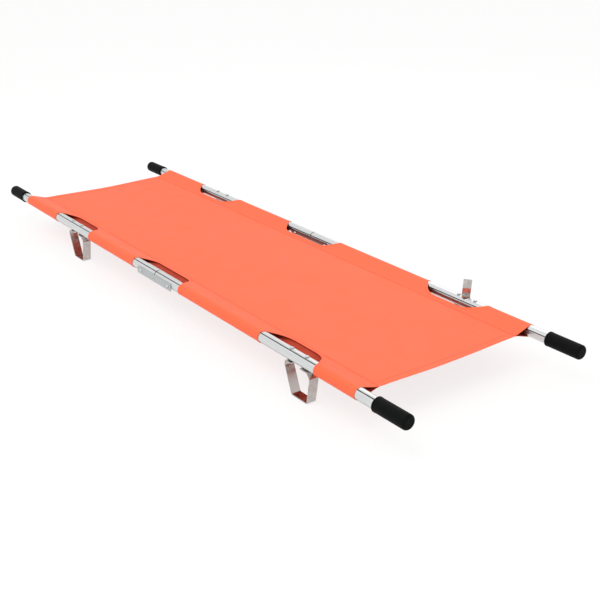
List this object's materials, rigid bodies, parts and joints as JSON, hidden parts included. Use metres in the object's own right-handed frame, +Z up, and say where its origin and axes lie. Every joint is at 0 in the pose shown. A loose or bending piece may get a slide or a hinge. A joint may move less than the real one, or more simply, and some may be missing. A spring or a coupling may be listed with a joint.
{
  "type": "folding stretcher",
  "caption": "Low litter with a coated cloth sheet on hinged tube rails, bent-strip legs and jointed spreader bars; it folds both in width and in length.",
  "frame": {"origin": "on the floor under the middle of the stretcher, between the four feet", "axes": "+X along the rails towards the right half, +Y towards the back rail, +Z up"},
  "size_m": [2.2, 0.6331, 0.1658],
  "materials": {
    "tube": "satin, extruded and anodised",
    "channel": "satin",
    "strip_steel": "polished strip",
    "fastener": "zinc plated",
    "grip": "matt foam rubber",
    "plug": "moulded",
    "sheet": "smooth coated cloth"
  },
  "bodies": {
    "front_left": {"front_left_rail_tube": "tube", "front_left_tube_insert": "plug", "front_left_grip": "grip", "front_left_leg": "strip_steel", "front_left_leg_fasteners": "fastener", "front_left_spreader_ear": "strip_steel", "front_left_spreader_pivot": "fastener", "front_left_outer_sleeve": "sheet", "front_left_inner_sleeve": "sheet", "front_left_under_flap": "sheet", "left_bed": "sheet"},
    "front_right": {"front_right_rail_tube": "tube", "front_right_tube_insert": "plug", "front_right_grip": "grip", "front_right_leg": "strip_steel", "front_right_leg_fasteners": "fastener", "front_right_spreader_ear": "strip_steel", "front_right_spreader_pivot": "fastener", "front_right_outer_sleeve": "sheet", "front_right_inner_sleeve": "sheet", "front_right_under_flap": "sheet", "right_bed": "sheet"},
    "back_left": {"back_left_rail_tube": "tube", "back_left_tube_insert": "plug", "back_left_grip": "grip", "back_left_leg": "strip_steel", "back_left_leg_fasteners": "fastener", "back_left_spreader_ear": "strip_steel", "back_left_spreader_pivot": "fastener", "back_left_outer_sleeve": "sheet", "back_left_inner_sleeve": "sheet", "back_left_under_flap": "sheet"},
    "back_right": {"back_right_rail_tube": "tube", "back_right_tube_insert": "plug", "back_right_grip": "grip", "back_right_leg": "strip_steel", "back_right_leg_fasteners": "fastener", "back_right_spreader_ear": "strip_steel", "back_right_spreader_pivot": "fastener", "back_right_outer_sleeve": "sheet", "back_right_inner_sleeve": "sheet", "back_right_under_flap": "sheet", "strip_tab": "strip_steel", "strip_tab_screw": "fastener"},
    "front_link": {"front_hinge_channel": "channel", "front_hinge_pins": "fastener", "middle_bed": "sheet"},
    "back_link": {"back_hinge_channel": "channel", "back_hinge_pins": "fastener"},
    "left_front_bar": {"left_front_spreader_bar": "strip_steel", "left_spreader_knuckle": "fastener"},
    "left_back_bar": {"left_back_spreader_bar": "strip_steel"},
    "right_front_bar": {"right_front_spreader_bar": "strip_steel", "right_spreader_knuckle": "fastener"},
    "right_back_bar": {"right_back_spreader_bar": "strip_steel"}
  },
  "joints": [
    {"name": "front_left_fold", "type": "hinge", "parent": "front_left", "child": "front_link", "pos_m": [-0.08, -0.291, 0.098], "axis": [0, 1, 0], "range_deg": [0, 90]},
    {"name": "length_fold", "type": "hinge", "parent": "front_link", "child": "front_right", "pos_m": [0.08, -0.291, 0.098], "axis": [0, 1, 0], "range_deg": [0, 90]},
    {"name": "width_fold", "type": "hinge", "parent": "front_left", "child": "left_front_bar", "pos_m": [-0.521, -0.257, 0.0802], "axis": [0, 0, -1], "range_deg": [0, 80.8], "deforming": ["left_bed", "middle_bed", "right_bed"]},
    {"name": "left_knuckle", "type": "hinge", "parent": "left_front_bar", "child": "left_back_bar", "pos_m": [-0.521, 0, 0.0802], "axis": [0, 0, -1], "range_deg": [-161.6, 0]},
    {"name": "left_back_pivot", "type": "hinge", "parent": "left_back_bar", "child": "back_left", "pos_m": [-0.521, 0.257, 0.0802], "axis": [0, 0, -1], "range_deg": [0, 80.8]},
    {"name": "back_left_fold", "type": "hinge", "parent": "back_left", "child": "back_link", "pos_m": [-0.08, 0.291, 0.098], "axis": [0, 1, 0], "range_deg": [0, 90]},
    {"name": "back_right_fold", "type": "hinge", "parent": "back_link", "child": "back_right", "pos_m": [0.08, 0.291, 0.098], "axis": [0, 1, 0], "range_deg": [0, 90]},
    {"name": "right_front_pivot", "type": "hinge", "parent": "front_right", "child": "right_front_bar", "pos_m": [0.732, -0.257, 0.0802], "axis": [0, 0, 1], "range_deg": [0, 80.8]},
    {"name": "right_knuckle", "type": "hinge", "parent": "right_front_bar", "child": "right_back_bar", "pos_m": [0.732, 0, 0.0802], "axis": [0, 0, 1], "range_deg": [-161.6, 0]}
  ],
  "couplings": [
    {"joint": "front_left_fold", "follows": "length_fold", "ratio": 1},
    {"joint": "back_left_fold", "follows": "length_fold", "ratio": 1},
    {"joint": "back_right_fold", "follows": "length_fold", "ratio": 1},
    {"joint": "left_knuckle", "follows": "width_fold", "ratio": -2},
    {"joint": "left_back_pivot", "follows": "width_fold", "ratio": 1},
    {"joint": "right_front_pivot", "follows": "width_fold", "ratio": 1},
    {"joint": "right_knuckle", "follows": "width_fold", "ratio": -2}
  ]
}
